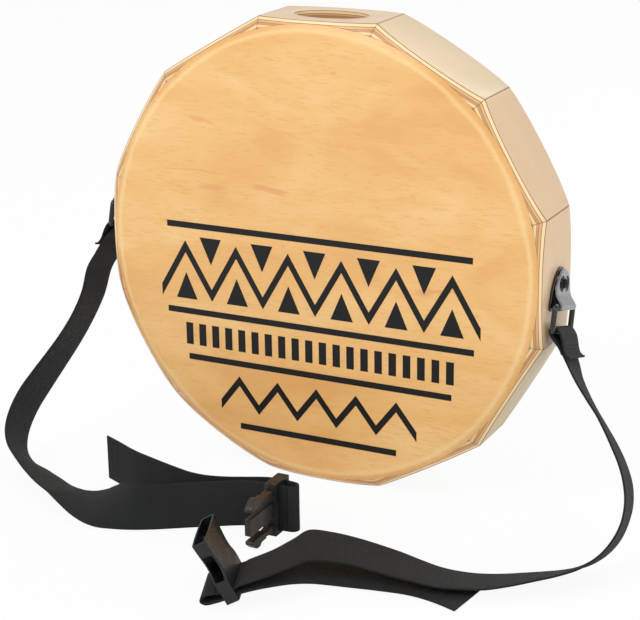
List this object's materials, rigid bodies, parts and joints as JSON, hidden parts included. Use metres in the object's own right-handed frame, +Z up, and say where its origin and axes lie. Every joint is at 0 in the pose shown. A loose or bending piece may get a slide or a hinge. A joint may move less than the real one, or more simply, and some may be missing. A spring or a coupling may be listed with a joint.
{
  "type": "portable cajon",
  "caption": "Round portable cajon: twelve-sided birch plywood drum with turned edges, sound port, snare wires, folding strap rings and a webbing shoulder strap with a side-release buckle.",
  "frame": {"origin": "middle of the bottom facet, on the surface the drum stands on", "axes": "+Z up, -Y towards the front panel, +X to the right as seen from the front"},
  "size_m": [0.5654, 0.3309, 0.4],
  "materials": {
    "birch_panel": "clear satin lacquer over birch veneer",
    "plywood": "satin lacquered birch plywood with sanded ply edges",
    "spruce": "bare planed softwood",
    "snare_steel": "plain drawn steel",
    "black_metal": "glossy black coated steel",
    "webbing": "matt woven webbing with sewn hems",
    "buckle_plastic": "moulded black plastic with a low sheen"
  },
  "bodies": {
    "root": {"stave_12_oclock_with_port": "plywood", "stave_1_oclock": "plywood", "stave_2_oclock": "plywood", "stave_3_oclock": "plywood", "stave_4_oclock": "plywood", "stave_5_oclock": "plywood", "stave_6_oclock": "plywood", "stave_7_oclock": "plywood", "stave_8_oclock": "plywood", "stave_9_oclock": "plywood", "stave_10_oclock": "plywood", "stave_11_oclock": "plywood", "front_panel": "birch_panel", "back_panel": "birch_panel", "snare_rail": "spruce", "rail_block_left": "spruce", "rail_block_right": "spruce", "snare_wires_left": "snare_steel", "snare_wires_right": "snare_steel", "snare_screw_left_a": "snare_steel", "bracket_screw_left_a": "black_metal", "snare_screw_left_b": "snare_steel", "bracket_screw_left_b": "black_metal", "bracket_plate_left": "black_metal", "bracket_bridge_left": "black_metal", "strap_left": "webbing", "strap_left_tail": "webbing", "snare_screw_right_a": "snare_steel", "bracket_screw_right_a": "black_metal", "snare_screw_right_b": "snare_steel", "bracket_screw_right_b": "black_metal", "bracket_plate_right": "black_metal", "bracket_bridge_right": "black_metal", "strap_right": "webbing", "strap_right_tail": "webbing", "buckle_plug": "buckle_plastic", "buckle_socket": "buckle_plastic"},
    "ring_left": {"strap_ring_left": "black_metal", "webbing_loop_left": "webbing"},
    "ring_right": {"strap_ring_right": "black_metal", "webbing_loop_right": "webbing"},
    "prong_upper": {"buckle_prong_upper": "buckle_plastic"},
    "prong_lower": {"buckle_prong_lower": "buckle_plastic"}
  },
  "joints": [
    {"name": "ring_swing_left", "type": "hinge", "parent": "root", "child": "ring_left", "pos_m": [-0.2073, -0.00069, 0.2186], "axis": [0, 0.9613, -0.2756], "range_deg": [0, 150], "deforming": ["strap_left"]},
    {"name": "ring_swing_right", "type": "hinge", "parent": "root", "child": "ring_right", "pos_m": [0.2073, -0.00069, 0.1766], "axis": [0, -0.9613, 0.2756], "range_deg": [0, 150], "deforming": ["strap_right"]},
    {"name": "prong_upper_flex", "type": "hinge", "parent": "root", "child": "prong_upper", "pos_m": [0.0185, -0.1623, 0.041], "axis": [1, 0, 0], "range_deg": [0, 6], "stiffness_Nm_per_rad": 0.15},
    {"name": "prong_lower_flex", "type": "hinge", "parent": "root", "child": "prong_lower", "pos_m": [0.0185, -0.1623, 0.01], "axis": [-1, 0, 0], "range_deg": [0, 6], "stiffness_Nm_per_rad": 0.15}
  ],
  "couplings": [
    {"joint": "prong_lower_flex", "follows": "prong_upper_flex", "ratio": 1}
  ]
}
